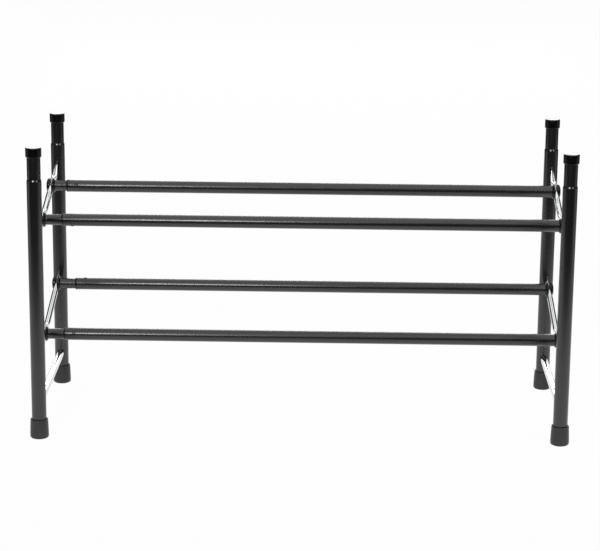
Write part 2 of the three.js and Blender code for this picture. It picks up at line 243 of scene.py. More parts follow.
def filleted(corners, steps=EDGE_STEPS):
    """A closed outline from (radius, height, fillet) corners, each rounded by its fillet."""
    points = []
    for k, (radius, height, fillet) in enumerate(corners):
        here = Vector((radius, height))
        if not fillet:
            points.append(here)
            continue
        back = (Vector(corners[k - 1][:2]) - here).normalized()
        ahead = (Vector(corners[(k + 1) % len(corners)][:2]) - here).normalized()
        half = back.angle(ahead) / 2
        centre = here + (back + ahead).normalized() * fillet / math.sin(half)
        start = here + back * fillet / math.tan(half) - centre
        end = here + ahead * fillet / math.tan(half) - centre
        first = math.atan2(start.y, start.x)
        sweep = (math.atan2(end.y, end.x) - first + math.pi) % (2 * math.pi) - math.pi
        for step in range(steps + 1):
            turn = first + sweep * step / steps
            points.append(centre + fillet * Vector((math.cos(turn), math.sin(turn))))
    return points


def lofted(rings, closed):
    """A mesh through rings of points. A ring of one point is a pole, and closed joins last to first."""
    mesh = bmesh.new()
    rows = [[mesh.verts.new(point) for point in ring] for ring in rings]
    for row, following in zip(rows, rows[1:] + (rows[:1] if closed else [])):
        count = max(len(row), len(following))
        for k in range(count):
            j = (k + 1) % count
            around = ((row, k), (row, j), (following, j), (following, k))
            corners = list(dict.fromkeys(ring[i % len(ring)] for ring, i in around))
            if len(corners) > 2:
                mesh.faces.new(corners)
    if not closed:
        for row in (rows[0], rows[-1]):
            mesh.faces.new(row)
    bmesh.ops.recalc_face_normals(mesh, faces=mesh.faces)
    return mesh


def turned(outline, steps=ROUND_STEPS):
    """A closed outline of (radius, height) points revolved about Z."""
    rings = []
    for radius, height in outline:
        count = steps if radius > 0 else 1
        turns = [2 * math.pi * k / count for k in range(count)]
        rings.append([(radius * math.cos(t), radius * math.sin(t), height) for t in turns])
    return lofted(rings, closed=True)


def piece(name, mesh, material, place=Matrix.Identity(4)):
    """An object from a bmesh, with the place put into its mesh."""
    data = bpy.data.meshes.new(name)
    mesh.transform(place)
    mesh.to_mesh(data)
    mesh.free()
    data.materials.append(material)
    data.shade_smooth()
    data.set_sharp_from_angle(angle=SHARP_ANGLE)
    made = bpy.data.objects.new(name, data)
    bpy.context.scene.collection.objects.link(made)
    return made


def settled(made):
    """Puts what the modifiers make into the object's own mesh, and removes them."""
    graph = bpy.context.evaluated_depsgraph_get()
    data = bpy.data.meshes.new_from_object(made.evaluated_get(graph))
    data.name = made.name
    made.modifiers.clear()
    made.data = data
    return made


def combined(made, others, operation):
    """Joins or cuts an object by others, which are removed."""
    for other in others:
        step = made.modifiers.new("Combine", "BOOLEAN")
        step.operation = operation
        step.solver = "EXACT"
        step.object = other
    settled(made)
    for other in others:
        bpy.data.objects.remove(other)
    made.data.set_sharp_from_angle(angle=SHARP_ANGLE)
    return made


def joined(name, parts, material):
    """Puts the meshes of several objects into one piece, and removes the objects."""
    mesh = bmesh.new()
    for part in parts:
        mesh.from_mesh(part.data)
        bpy.data.objects.remove(part)
    return piece(name, mesh, material)


def stands_for(made, body, nodes):
    """Makes a piece ride on its body and stand for its nodes."""
    if not made.data.polygons:
        raise RuntimeError(f"{made.name} came out empty")
    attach(made, body)
    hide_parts(*nodes)


def along_x(sign=1):
    """Turns a piece made about Z so that its top points along X, to the right for sign 1."""
    return Matrix.Rotation(sign * math.pi / 2, 4, "Y")


# Places, read from the frame


def middle(node):
    """Middle of a node's box."""
    low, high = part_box(node)
    return (low + high) / 2


def bar_axis(bar):
    """Middle of a telescopic tube, on its axis."""
    return middle(f"{bar}_inner_tube")


def on_bars(across):
    """A place on each telescopic tube's axis, at the X that a function gives for the tube."""
    return [(across(bar), bar_axis(bar).y, bar_axis(bar).z) for bar in BARS]


def upright(node):
    """Where the axis of a post, cap or foot meets the floor."""
    return Vector((middle(node).x, middle(node).y, 0))


def rail_line(tier):
    """Slope of a tier's rails, and their height at y = 0, from the two tubes that they carry."""
    front, rear = (bar_axis(f"{tier}_{end}") for end in ENDS)
    slope = (rear.z - front.z) / (rear.y - front.y)
    return slope, front.z - slope * front.y


def rail_x(side):
    """Where the rail's axis lies across the rack."""
    return middle(f"{side}_upper_rail").x


# Geometry node trees


def add(tree, kind, inputs=None, **settings):
    """Adds a node with its settings.

    Inputs maps its sockets to values, or to what feeds them: a socket, or a node with its first output
    that is in use.
    """
    node = tree.nodes.new(kind)
    for name, value in settings.items():
        setattr(node, name, value)
    for name, value in (inputs or {}).items():
        if isinstance(value, bpy.types.Node):
            value = next(output for output in value.outputs if output.enabled)
        if isinstance(value, bpy.types.NodeSocket):
            tree.links.new(value, node.inputs[name])
        else:
            node.inputs[name].default_value = value
    return node


def new_tree(name, sockets):
    """A geometry node tree with the given inputs, after its geometry input."""
    tree = bpy.data.node_groups.new(name, "GeometryNodeTree")
    tree.interface.new_socket("Geometry", in_out="INPUT", socket_type="NodeSocketGeometry")
    tree.interface.new_socket("Geometry", in_out="OUTPUT", socket_type="NodeSocketGeometry")
    for label, kind in sockets.items():
        tree.interface.new_socket(label, in_out="INPUT", socket_type=kind)
    return tree, add(tree, "NodeGroupInput")


def finish_tree(tree, source, instances):
    """Ends a tree: instances become mesh and take the material."""
    real = add(tree, "GeometryNodeRealizeInstances", {"Geometry": instances})
    dressed = add(tree, "GeometryNodeSetMaterial", {"Geometry": real, "Material": source.outputs["Material"]})
    add(tree, "NodeGroupOutput", {"Geometry": dressed})
    return tree


def on_places(tree, source, geometry):
    """Instances of a geometry on the places, each turned about X by the place's own turn."""
    turn = add(tree, "GeometryNodeInputNamedAttribute", {"Name": "turn"}, data_type="FLOAT")
    angles = add(tree, "ShaderNodeCombineXYZ", {"X": turn})
    rotation = add(tree, "FunctionNodeEulerToRotation", {"Euler": angles})
    return add(tree, "GeometryNodeInstanceOnPoints", {
        "Points": source.outputs["Geometry"],
        "Instance": geometry,
        "Rotation": rotation,
    })


def copies_tree():
    """Tree that sets copies of one piece on the places."""
    sockets = {"Piece": "NodeSocketObject", "Material": "NodeSocketMaterial"}
    tree, source = new_tree("Copies on places", sockets)
    original = add(tree, "GeometryNodeObjectInfo", {"Object": source.outputs["Piece"]})
    return finish_tree(tree, source, on_places(tree, source, original.outputs["Geometry"]))


def tube_tree():
    """Tree that draws a tube with rounded ends and a hole for the nub, and sets one on each place."""
    floats = ("Length", "Radius", "Wall", "Edge", "Hole Radius", "Hole Distance")
    tree, source = new_tree("Telescopic tubes", {
        **dict.fromkeys(floats, "NodeSocketFloat"),
        "Hole": "NodeSocketBool",
        "Material": "NodeSocketMaterial",
    })
    given = source.outputs
    half_wall = add(tree, "ShaderNodeMath", {0: given["Wall"], 1: 0.5}, operation="MULTIPLY")
    mean = add(tree, "ShaderNodeMath", {0: given["Radius"], 1: half_wall}, operation="SUBTRACT")
    path = add(tree, "GeometryNodeCurvePrimitiveCircle", {"Resolution": ROUND_STEPS, "Radius": mean})
    section = add(tree, "GeometryNodeCurvePrimitiveQuadrilateral", {
        "Width": given["Wall"],
        "Height": given["Length"],
    })
    rounded = add(tree, "GeometryNodeFilletCurve", {
        "Curve": section,
        "Radius": given["Edge"],
        "Limit Radius": True,
        "Count": EDGE_STEPS,
    }, mode="POLY")
    tube = add(tree, "GeometryNodeCurveToMesh", {"Curve": path, "Profile Curve": rounded})
    smooth = add(tree, "GeometryNodeSetShadeSmooth", {"Geometry": tube})
    half_length = add(tree, "ShaderNodeMath", {0: given["Length"], 1: 0.5}, operation="MULTIPLY")
    start = add(tree, "ShaderNodeCombineXYZ", {"X": half_length})
    laid = add(tree, "GeometryNodeTransform", {
        "Geometry": smooth,
        "Translation": start,
        "Rotation": (0, math.pi / 2, 0),
    })
    drill = add(tree, "GeometryNodeMeshCylinder", {
        "Vertices": SMALL_STEPS,
        "Radius": given["Hole Radius"],
        "Depth": given["Radius"],
    })
    front = add(tree, "ShaderNodeMath", {0: given["Radius"], 1: -1}, operation="MULTIPLY")
    drill_place = add(tree, "ShaderNodeCombineXYZ", {"X": given["Hole Distance"], "Y": front})
    placed_drill = add(tree, "GeometryNodeTransform", {
        "Geometry": drill,
        "Translation": drill_place,
        "Rotation": (math.pi / 2, 0, 0),
    })
    drilled = add(tree, "GeometryNodeMeshBoolean", {
        "Mesh 1": laid,
        "Mesh 2": placed_drill,
    }, operation="DIFFERENCE", solver="EXACT")
    choice = add(tree, "GeometryNodeSwitch", {
        "Switch": given["Hole"],
        "False": laid,
        "True": drilled,
    }, input_type="GEOMETRY")
    return finish_tree(tree, source, on_places(tree, source, choice))


def from_tree(name, tree, places, turns, values):
    """An object that a tree makes on places, as a plain mesh."""
    data = bpy.data.meshes.new(name)
    data.from_pydata(places, [], [])
    attribute = data.attributes.new("turn", "FLOAT", "POINT")
    attribute.data.foreach_set("value", turns)
    made = bpy.data.objects.new(name, data)
    bpy.context.scene.collection.objects.link(made)
    nodes = made.modifiers.new(tree.name, "NODES")
    nodes.node_group = tree
    for socket in tree.interface.items_tree:
        if socket.name in values and socket.in_out == "INPUT":
            nodes[socket.identifier] = values[socket.name]
    settled(made)
    made.data.set_sharp_from_angle(angle=SHARP_ANGLE)
    return made


def copies(name, original, places, body, nodes, turns=None):
    """Makes one piece of a body from copies of an original on places, and removes the original."""
    made = from_tree(name, copies_tree(), places, turns or [0.0] * len(places), {
        "Piece": original,
        "Material": original.data.materials[0],
    })
    bpy.data.objects.remove(original)
    stands_for(made, body, nodes)


# Materials


def finish(name, tint, darker, patch, gloss, relief, depth, stretch=(1, 1, 1), **surface):
    """A finish whose tone and gloss vary in patches, with a fine relief over them.

    Between the patches the tint is darker by a share, and gloss holds the least and the greatest
    roughness. The patches' size, the relief's size and its depth are in millimetres. Stretch scales the
    patches along each axis, and the rest goes on the surface shader's own sockets.
    """
    material = bpy.data.materials.new(name)
    material.use_nodes = True
    tree = material.node_tree
    tree.nodes.clear()
    place = add(tree, "ShaderNodeTexCoord")
    stretched = add(tree, "ShaderNodeMapping", {"Vector": place.outputs["Object"], "Scale": stretch})
    patches = add(tree, "ShaderNodeTexNoise", {
        "Vector": stretched,
        "Scale": per_mm(patch),
        "Detail": PATCH_OCTAVES,
    })
    tone = add(tree, "ShaderNodeMix", {
        "Factor": patches,
        "A": [channel * (1 - darker) for channel in tint[:3]] + [1],
        "B": tint,
    }, data_type="RGBA")
    roughness = add(tree, "ShaderNodeMapRange", {
        "Value": patches,
        "From Min": NOISE_SPREAD[0],
        "From Max": NOISE_SPREAD[1],
        "To Min": gloss[0],
        "To Max": gloss[1],
    })
    fine = add(tree, "ShaderNodeTexNoise", {
        "Vector": place.outputs["Object"],
        "Scale": per_mm(relief),
        "Detail": RELIEF_OCTAVES,
    })
    bump = add(tree, "ShaderNodeBump", {"Height": fine, "Distance": depth * MM})
    shader = add(tree, "ShaderNodeBsdfPrincipled", {
        "Base Color": tone,
        "Roughness": roughness,
        "Normal": bump,
        **surface,
    })
    add(tree, "ShaderNodeOutputMaterial", {"Surface": shader})
    return material


def per_mm(size):
    """Scale of a pattern on object coordinates whose features are so many millimetres across."""
    return 1 / (size * MM)


def powder_coat(finishes):
    """Black powder coat baked on steel tube.

    The film flows out to a semi-gloss with a faint orange peel, about 1.5 mm across, and rubbed patches of
    a few centimetres vary its gloss. Its filler makes it mirror a little more than clear resin does.
    """
    return finish(
        "Semi-gloss black powder coat", finishes.coat,
        darker=0.2, patch=30, gloss=(0.24, 0.29), relief=1.5, depth=0.002, IOR=1.7,
    )


def chrome_plate(finishes):
    """Bright chrome plate over drawn steel tube.

    It is mirror bright, with a trace of haze, and the tube's slow waves bend what it mirrors.
    """
    return finish(
        "Bright chrome plate", finishes.chrome,
        darker=0.03, patch=6, gloss=(0.02, 0.035), relief=25, depth=0.008, Metallic=1.0,
    )


def moulded_rubber(finishes):
    """Compression-moulded black rubber.

    It is dull, with a fine grain, and its tone and gloss vary in streaks down its sides.
    """
    return finish(
        "Moulded black rubber", finishes.rubber,
        darker=0.7, patch=2.5, gloss=(0.3, 0.55), relief=0.6, depth=0.02, stretch=(1, 1, 0.15), IOR=1.52,
    )


def moulded_plastic(finishes):
    """Injection-moulded black polypropylene.

    It is satin, with the slight shine and the fine spark texture of its tool, and it mirrors less than the
    powder coat, so it looks blacker.
    """
    return finish(
        "Moulded black polypropylene", finishes.plastic,
        darker=0.2, patch=12, gloss=(0.22, 0.3), relief=0.4, depth=0.006, IOR=1.49,
        **{"Specular IOR Level": 0.32},
    )


def zinc_plate(finishes):
    """Zinc-plated screw steel.

    It is a cool grey metal, slightly mottled by the plating bath.
    """
    return finish(
        "Zinc-plated steel", finishes.zinc,
        darker=0.2, patch=1.2, gloss=(0.24, 0.38), relief=0.5, depth=0.01, Metallic=1.0,
    )


MAKERS = {
    "coated_steel": powder_coat,
    "chrome": chrome_plate,
    "rubber": moulded_rubber,
    "black_plastic": moulded_plastic,
    "zinc": zinc_plate,
}


def finish_of(context, slot):
    """The material of a slot, made the first time that it is asked for."""
    key = f"finish_{slot}"
    if key not in context.scene:
        context.scene[key] = MAKERS[slot](context.scene.rack_finishes)
    return context.scene[key]


# Posts and rails


def pressed_section(radius, thickness):
    """Points of a round section pressed to a thickness, which keeps its girth and so grows taller."""
    end_radius = thickness / 2
    flat = math.pi * (radius - end_radius)
    points = []
    for k in range(ROUND_STEPS):
        turn = 2 * math.pi * k / ROUND_STEPS
        along = radius * math.asin(min(1, abs(math.sin(turn))))
        past_flat = max(0, along - flat / 2) / end_radius
        across = math.copysign(end_radius * math.cos(past_flat), math.cos(turn))
        height = min(along, flat / 2) + end_radius * math.sin(past_flat)
        points.append((across, math.copysign(height, math.sin(turn))))
    return points


def rail_flats(context, side, tier):
    """The rail's flats, each a middle along it, a reach to either side and the run where it becomes round."""
    rails, fittings = context.scene.rack_rails, context.scene.rack_fittings
    slope, _ = rail_line(tier)
    stretch = math.hypot(1, slope)
    front = middle(f"{side}_front_post").y
    reach = post_radius(side, "front") + rails.pinch_flat
    flats = [(0, reach, rails.pinch_length), (rail_length(side, tier), reach, rails.pinch_length)]
    reach = fittings.collar_diameter / 2 * stretch + fittings.clamp_gap
    for end in ENDS:
        place = (bar_axis(f"{tier}_{end}").y - front) * stretch
        flats.append((place, reach, rails.clamp_pinch_length))
    return flats


def pressed_share(flats, distance):
    """How much of the rail is pressed at a distance along it: 1 on a flat and 0 where it is round."""
    pressed = 0
    for place, reach, run in flats:
        away = min(max((abs(distance - place) - reach) / run, 0), 1)
        pressed = max(pressed, 1 - away * away * (3 - 2 * away))
    return pressed


def rail_mesh(context, side, tier):
    """A sloping rail along Y, with the posts' axes at y = 0 and at its full length."""
    sizes = context.scene.rack_rails
    flats = rail_flats(context, side, tier)
    start = post_radius(side, "front") - sizes.entry
    run = rail_length(side, tier) - 2 * start
    steps = round(run / sizes.ring_step)
    rings = []
    for k in range(steps + 1):
        distance = start + run * k / steps
        pressed = pressed_share(flats, distance) * (sizes.diameter - sizes.pinch_thickness)
        section = pressed_section(sizes.diameter / 2, sizes.diameter - pressed)
        rings.append([(x, distance, z) for x, z in section])
    return lofted(rings, closed=False)


def sloping_place(side, tier):
    """Place of a rail that is made level along Y, from the front post's axis at y = 0."""
    slope, height = rail_line(tier)
    front = middle(f"{side}_front_post").y
    tilt = Matrix.Rotation(math.atan(slope), 4, "X")
    return Matrix.Translation((rail_x(side), front, height + slope * front)) @ tilt


def rail_length(side, tier):
    """Length of a rail from the front post's axis to the rear post's."""
    slope, _ = rail_line(tier)
    return frame_depth(side) * math.hypot(1, slope)


def slot_cutter(context, side, tier):
    """The slots in both posts for the flat ends of a rail."""
    sizes = context.scene.rack_rails
    gap = sizes.slot_gap
    section = pressed_section(sizes.diameter / 2 + gap, sizes.pinch_thickness + 2 * gap)
    rings = [[(x, distance, z) for x, z in section] for distance in (0, rail_length(side, tier))]
    mesh = lofted(rings, closed=False)
    return piece("slot_cutter", mesh, finish_of(context, "chrome"), sloping_place(side, tier))


def post_radius(side, end):
    """Outside radius of a post."""
    low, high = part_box(f"{side}_{end}_post")
    return (high.x - low.x) / 2


def bottom_rail_mesh(radius, start, depth):
    """A level rod along Y, which stands at a distance inside the front post's axis and the rear post's."""
    outline = [(0, start), (radius, start), (radius, depth - start), (0, depth - start)]
    mesh = turned(outline, SMALL_STEPS)
    mesh.transform(Matrix.Rotation(-math.pi / 2, 4, "X"))
    return mesh


def frame_depth(side):
    """Distance between the axes of a frame's two posts."""
    return middle(f"{side}_rear_post").y - middle(f"{side}_front_post").y


def bottom_place(side):
    """Place of the bottom rail, from the front post's axis at y = 0."""
    height = middle(f"{side}_bottom_rail").z
    return Matrix.Translation((rail_x(side), middle(f"{side}_front_post").y, height))


class RACK_OT_posts(bpy.types.Operator):
    """Makes the four posts, with drawn necks and slots for the rails"""

    bl_idname = "shoe_rack.posts"
    bl_label = "Posts"

    def execute(self, context):
        sizes, rails = context.scene.rack_posts, context.scene.rack_rails
        steel, chrome = finish_of(context, "coated_steel"), finish_of(context, "chrome")
        for side in SIDES:
            for end in ENDS:
                node = f"{side}_{end}_post"
                low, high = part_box(node)
                radius = post_radius(side, end)
                neck = sizes.neck_diameter / 2
                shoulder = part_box(f"{side}_{end}_cap")[1].z - sizes.neck_height
                edge = sizes.shoulder_edge
                outline = filleted([
                    (radius, low.z, FINE_EDGE),
                    (radius, shoulder - sizes.shoulder_length, edge),
                    (neck, shoulder, edge),
                    (neck, high.z, FINE_EDGE),
                    (neck - sizes.wall, high.z, FINE_EDGE),
                    (neck - sizes.wall, shoulder, edge),
                    (radius - sizes.wall, shoulder - sizes.shoulder_length, edge),
                    (radius - sizes.wall, low.z, FINE_EDGE),
                ])
                made = piece(f"{node}_tube", turned(outline), steel, Matrix.Translation(upright(node)))
                cutters = [slot_cutter(context, side, tier) for tier in TIERS]
                bottom = bottom_rail_mesh(rails.bottom_diameter / 2 + rails.slot_gap, 0, frame_depth(side))
                cutters.append(piece("bottom_cutter", bottom, chrome, bottom_place(side)))
                combined(made, cutters, "DIFFERENCE")
                stands_for(made, BODY[side], [node])
        return {"FINISHED"}


class RACK_OT_rails(bpy.types.Operator):
    """Makes the level bottom rails and the sloping rails with their pressed ends"""

    bl_idname = "shoe_rack.rails"
    bl_label = "Rails"

    def execute(self, context):
        sizes, fittings = context.scene.rack_rails, context.scene.rack_fittings
        chrome = finish_of(context, "chrome")
        hole = fittings.screw_diameter / 2 + fittings.clamp_gap
        for side in SIDES:
            start = post_radius(side, "front") - sizes.entry
            mesh = bottom_rail_mesh(sizes.bottom_diameter / 2, start, frame_depth(side))
            bottom = piece(f"{side}_bottom_rail_tube", mesh, chrome, bottom_place(side))
            stands_for(bottom, BODY[side], [f"{side}_bottom_rail"])
            for tier in TIERS:
                mesh = rail_mesh(context, side, tier)
                rail = piece(f"{side}_{tier}_rail_tube", mesh, chrome, sloping_place(side, tier))
                drills = []
                for end in ENDS:
                    axis = bar_axis(f"{tier}_{end}")
                    drill = turned(((0, -hole), (hole, -hole), (hole, hole), (0, hole)), SMALL_STEPS)
                    place = Matrix.Translation((rail_x(side), axis.y, axis.z)) @ along_x()
                    drills.append(piece("drill", drill, chrome, place))
                combined(rail, drills, "DIFFERENCE")
                stands_for(rail, BODY[side], [f"{side}_{tier}_rail"])
        return {"FINISHED"}


class RACK_OT_caps(bpy.types.Operator):
    """Makes the caps on the necks"""

    bl_idname = "shoe_rack.caps"
    bl_label = "Caps"

    def execute(self, context):
        sizes = context.scene.rack_posts
        for side in SIDES:
            nodes = [f"{side}_{end}_cap" for end in ENDS]
            low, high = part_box(nodes[0])
            radius = (high.x - low.x) / 2
            bore = sizes.neck_diameter / 2 + sizes.seat
            bevel = sizes.cap_bevel
            outline = filleted([
                (bore, low.z, sizes.cap_bore_edge),
                (radius - bevel, low.z, SMALL_EDGE),
                (radius, low.z + bevel, sizes.cap_side_edge),
                (radius, high.z, sizes.cap_edge),
                (0, high.z, 0),
                (0, high.z - sizes.cap_top, 0),
                (bore, high.z - sizes.cap_top, sizes.cap_bore_edge),
            ], steps=2 * EDGE_STEPS)
            original = piece("cap", turned(outline), finish_of(context, "black_plastic"))
            places = [upright(node) for node in nodes]
            copies(f"{side}_caps", original, places, BODY[side], nodes)
        return {"FINISHED"}


class RACK_OT_feet(bpy.types.Operator):
    """Makes the flared rubber feet"""

    bl_idname = "shoe_rack.feet"
    bl_label = "Feet"

    def execute(self, context):
        sizes = context.scene.rack_posts
        for side in SIDES:
            nodes = [f"{side}_{end}_foot" for end in ENDS]
            low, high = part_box(nodes[0])
            base = (high.x - low.x) / 2
            rim = sizes.foot_rim_diameter / 2
            bore = post_radius(side, "front") + sizes.seat
            outline = filleted([
                (0, low.z, 0),
                (base, low.z, sizes.foot_edge),
                (base, low.z + sizes.foot_flare, sizes.foot_flare_edge),
                (rim, high.z, sizes.foot_lip),
                (bore + sizes.foot_mouth, high.z, FINE_EDGE),
                (bore, high.z - sizes.foot_mouth_depth, SMALL_EDGE),
                (bore, low.z + sizes.foot_floor, 0),
                (0, low.z + sizes.foot_floor, 0),
            ], steps=2 * EDGE_STEPS)
            original = piece("foot", turned(outline), finish_of(context, "rubber"))
            places = [upright(node) for node in nodes]
            copies(f"{side}_feet", original, places, BODY[side], nodes)
        return {"FINISHED"}


class RACK_OT_tubes(bpy.types.Operator):
    """Makes the telescopic tubes"""

    bl_idname = "shoe_rack.tubes"
    bl_label = "Telescopic tubes"

    def execute(self, context):
        sizes = context.scene.rack_tubes
        steel = finish_of(context, "coated_steel")
        tree = tube_tree()
        for kind, body in (("outer", "right_frame"), ("inner", "left_frame")):
            tubes = []
            for bar in BARS:
                low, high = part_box(f"{bar}_{kind}_tube")
                place = (low.x, bar_axis(bar).y, bar_axis(bar).z)
                tubes.append(from_tree(f"{bar}_{kind}", tree, [place], [-NUB_TURNS[bar]], {
                    "Length": high.x - low.x,
                    "Radius": tube_radius(kind),
                    "Wall": sizes.wall,
                    "Edge": sizes.edge,
                    "Hole Radius": sizes.nub_diameter / 2 + sizes.nub_gap,
                    "Hole Distance": mouth(bar) + sizes.nub_inset - low.x,
                    "Hole": kind == "outer",
                    "Material": steel,
                }))
            made = joined(f"{kind}_tubes", tubes, steel)
            stands_for(made, body, [f"{bar}_{kind}_tube" for bar in BARS])
        return {"FINISHED"}


def tube_radius(kind):
    """Outside radius of the outer or the inner tubes."""
    low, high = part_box(f"{BARS[0]}_{kind}_tube")
    return (high.y - low.y) / 2


def mouth(bar):
    """Where the outer tube's mouth lies: the bush's lip is in front of it."""
    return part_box(f"{bar}_bush")[0].x + bpy.context.scene.rack_tubes.lip_length


class RACK_OT_bushes(bpy.types.Operator):
    """Makes the bushes in the tubes' mouths and the guide shoes on the inner tubes"""

    bl_idname = "shoe_rack.bushes"
    bl_label = "Bushes and guide shoes"

    def execute(self, context):
        sizes = context.scene.rack_tubes
        plastic = finish_of(context, "black_plastic")
        outer, inner = tube_radius("outer"), tube_radius("inner")
        bore = inner + sizes.running_gap
        # This bush's nub is turned forwards, so it stays within the height of the lip
        low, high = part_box("lower_front_bush")
        lip = (high.z - low.z) / 2
        sleeve = outer - sizes.wall - sizes.bush_gap
        outline = filleted([
            (bore, -sizes.lip_length, SMALL_EDGE),
            (lip - sizes.lip_nose, -sizes.lip_length, sizes.lip_edge / 2),
            (lip, sizes.lip_nose - sizes.lip_length, sizes.lip_edge),
            (lip, 0, sizes.lip_edge / 2),
            (sleeve, 0, 0),
            (sleeve, sizes.bush_length, 0),
            (bore, sizes.bush_length, 0),
        ])
        original = piece("bush", turned(outline), plastic, along_x())
        nub = filleted([
            (0, bore + sizes.bush_gap, 0),
            (sizes.nub_diameter / 2, bore + sizes.bush_gap, 0),
            (sizes.nub_diameter / 2, outer + sizes.nub_rise, sizes.nub_edge),
            (0, outer + sizes.nub_rise, 0),
        ])
        nub_place = Matrix.Translation((sizes.nub_inset, 0, 0)) @ Matrix.Rotation(math.pi / 2, 4, "X")
        combined(original, [piece("nub", turned(nub, SMALL_STEPS), plastic, nub_place)], "UNION")
        nodes = [f"{bar}_bush" for bar in BARS]
        turns = [-NUB_TURNS[bar] for bar in BARS]
        copies("bushes", original, on_bars(mouth), "right_frame", nodes, turns)

        spigot = inner - sizes.wall - sizes.guide_gap
        shoe = outer - sizes.wall - sizes.running_gap
        edge = sizes.guide_edge
        outline = filleted([
            (sizes.guide_bore / 2, -sizes.guide_spigot, edge / 2),
            (spigot, -sizes.guide_spigot, edge),
            (spigot, 0, 0),
            (shoe, 0, edge / 3),
            (shoe, sizes.guide_length, edge),
            (sizes.guide_bore / 2, sizes.guide_length, edge),
        ])
        original = piece("guide", turned(outline, SMALL_STEPS), plastic, along_x())
        places = on_bars(lambda bar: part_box(f"{bar}_guide")[1].x - sizes.guide_length)
        nodes = [f"{bar}_guide" for bar in BARS]
        copies("guide_shoes", original, places, "left_frame", nodes)
        return {"FINISHED"}


class RACK_OT_fittings(bpy.types.Operator):
    """Makes the plugs, saddles and screws that hold the tubes to the rails"""

    bl_idname = "shoe_rack.fittings"
    bl_label = "End fittings"

    def execute(self, context):
        sizes, tubes = context.scene.rack_fittings, context.scene.rack_tubes
        plastic, zinc = finish_of(context, "black_plastic"), finish_of(context, "zinc")
        collar = sizes.collar_diameter / 2
        shank = sizes.screw_diameter / 2 + sizes.seat
        rails = context.scene.rack_rails
        face = -(rails.diameter / 2 + sizes.standoff)
        clamp = rails.pinch_thickness / 2 + sizes.clamp_gap
        head_seat = sizes.reach - sizes.head_height
        head = sizes.head_diameter / 2 + sizes.seat
        tip = head_seat - sizes.screw_length - sizes.seat
        # The dome's middle corner lies halfway in to the screw's head and two thirds of the way out
        dome = ((collar + head) / 2 + sizes.dome_rise, (sizes.rim + 2 * sizes.reach) / 3, sizes.dome_edge)
        for side, sign, kind in (("left", -1, "inner"), ("right", 1, "outer")):
            bore = tube_radius(kind) - tubes.wall - sizes.seat
            plug = filleted([
                (0, face - sizes.spigot, 0),
                (bore, face - sizes.spigot, sizes.spigot_edge),
                (bore, face, 0),
                (collar - sizes.collar_bevel, face, SMALL_EDGE),
                (collar, face + sizes.collar_bevel, sizes.collar_side_edge),
                (collar, -clamp, sizes.slit_edge),
                (shank, -clamp, FINE_EDGE),
                (shank, tip, 0),
                (0, tip, 0),
            ])
            saddle = filleted([
                (shank, clamp, FINE_EDGE),
                (collar, clamp, sizes.slit_edge),
                (collar, sizes.rim, sizes.rim_edge),
                dome,
                (head, sizes.reach, SMALL_EDGE),
                (head, head_seat - sizes.seat, 0),
                (shank, head_seat - sizes.seat, 0),
            ])
            places = on_bars(lambda bar: rail_x(side))
            for label, outline in (("plug", plug), ("saddle", saddle)):
                original = piece(label, turned(outline), plastic, along_x(sign))
                nodes = [f"{side}_{bar}_{label}" for bar in BARS]
                copies(f"{side}_{label}s", original, places, BODY[side], nodes)
            original = screw(sizes, head_seat, zinc, along_x(sign))
            nodes = [f"{side}_{bar}_screw" for bar in BARS]
            copies(f"{side}_screws", original, places, BODY[side], nodes)
        return {"FINISHED"}


def screw(sizes, head_seat, material, place):
    """A pan-head screw with a cross recess, along Z with its head's underside at the seat."""
    shank, head = sizes.screw_diameter / 2, sizes.head_diameter / 2
    tip = head_seat - sizes.screw_length
    outline = filleted([
        (0, tip, 0),
        (shank, tip + sizes.screw_tip, SMALL_EDGE),
        (shank, head_seat, 0),
        (head, head_seat, FINE_EDGE),
        (head, head_seat + sizes.head_height, sizes.head_edge),
        (0, head_seat + sizes.head_height, 0),
    ])
    made = piece("screw", turned(outline, SMALL_STEPS), material, place)
    wings = []
    for width, breadth in ((sizes.recess_width, sizes.recess_span), (sizes.recess_span, sizes.recess_width)):
        wing = bmesh.new()
        bmesh.ops.create_cube(wing, size=1)
        wing.transform(Matrix.Diagonal((width, breadth, 2 * sizes.recess_depth, 1)))
        wing.transform(Matrix.Translation((0, 0, head_seat + sizes.head_height)))
        wings.append(piece("wing", wing, material, place))
    return combined(made, wings, "DIFFERENCE")


# Studio


